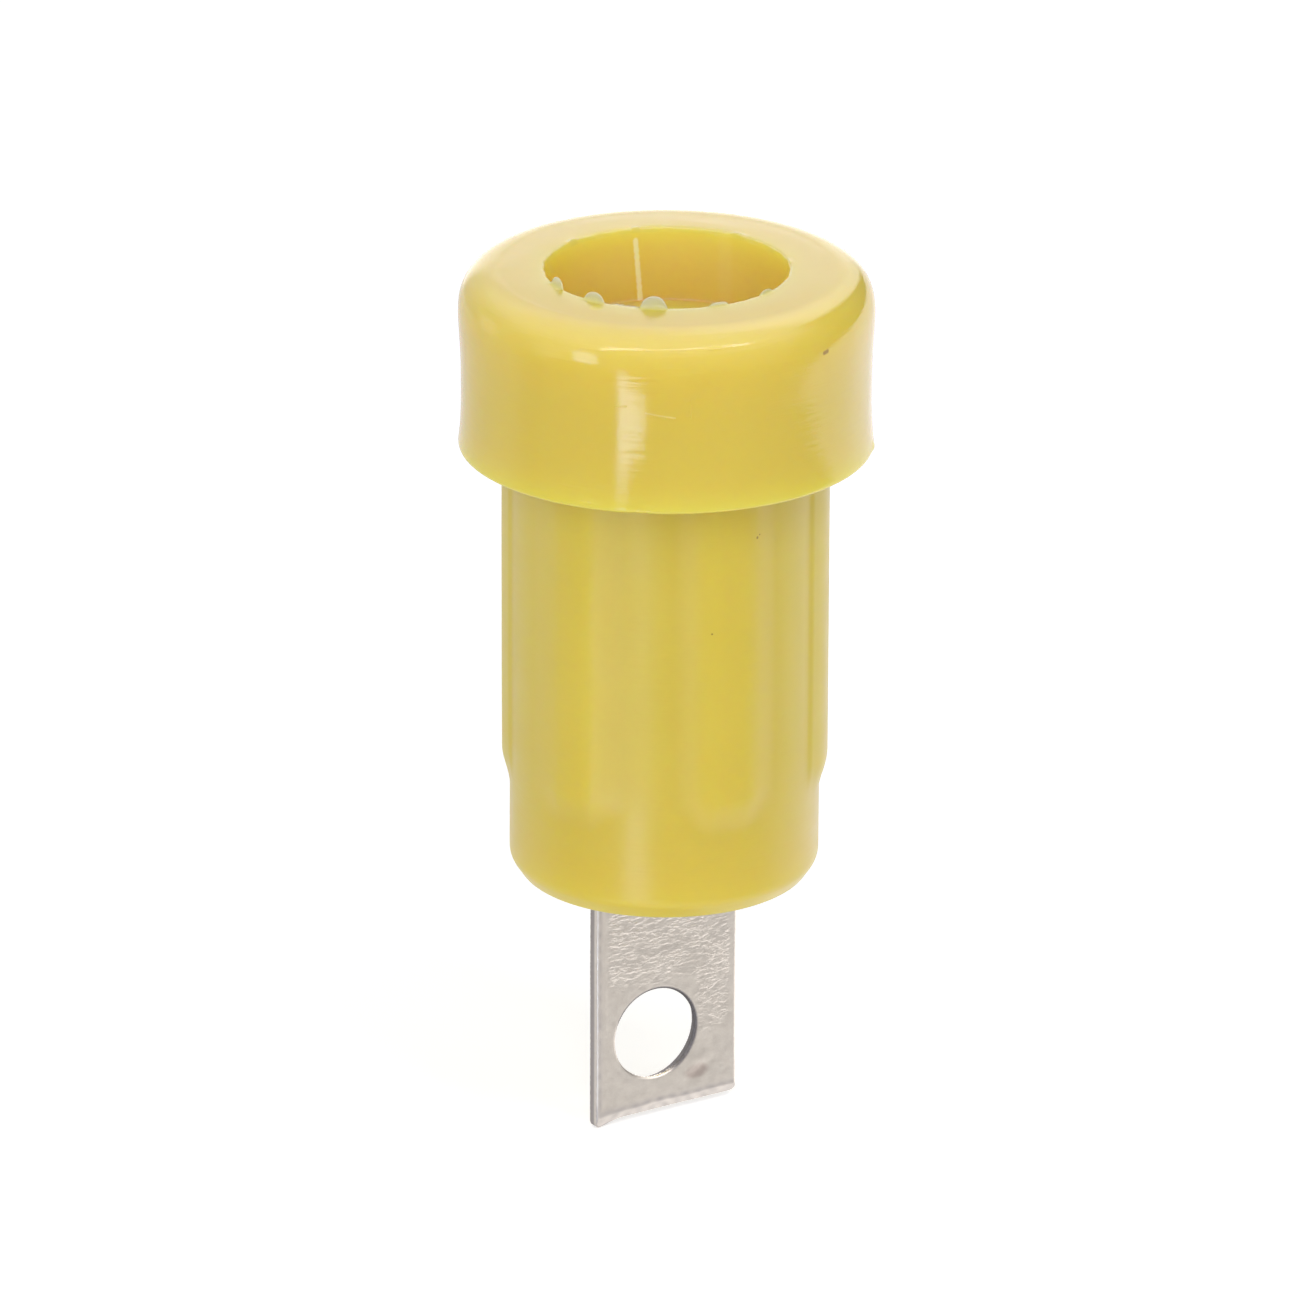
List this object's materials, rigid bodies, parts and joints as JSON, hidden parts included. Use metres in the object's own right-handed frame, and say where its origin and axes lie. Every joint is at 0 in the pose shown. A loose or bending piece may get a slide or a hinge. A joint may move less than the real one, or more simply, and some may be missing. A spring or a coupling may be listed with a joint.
{
  "type": "banana socket",
  "caption": "Insulated press-in panel socket for a banana plug, with a stepped round body, a recessed rolled contact and a flat solder tab with a hole.",
  "frame": {"origin": "centre of the head's underside, in the plane that seats on the panel", "axes": "+Z along the plug's axis out of the mouth, +X across the solder tab, -Y out of the tab's front face"},
  "size_m": [0.0108, 0.0108, 0.0235],
  "materials": {
    "moulded_nylon": "yellow moulded nylon, semi-gloss",
    "tinned_brass": "tin plated sheet brass, satin"
  },
  "bodies": {
    "root": {"insulating_body": "moulded_nylon", "contact": "tinned_brass"}
  },
  "joints": []
}
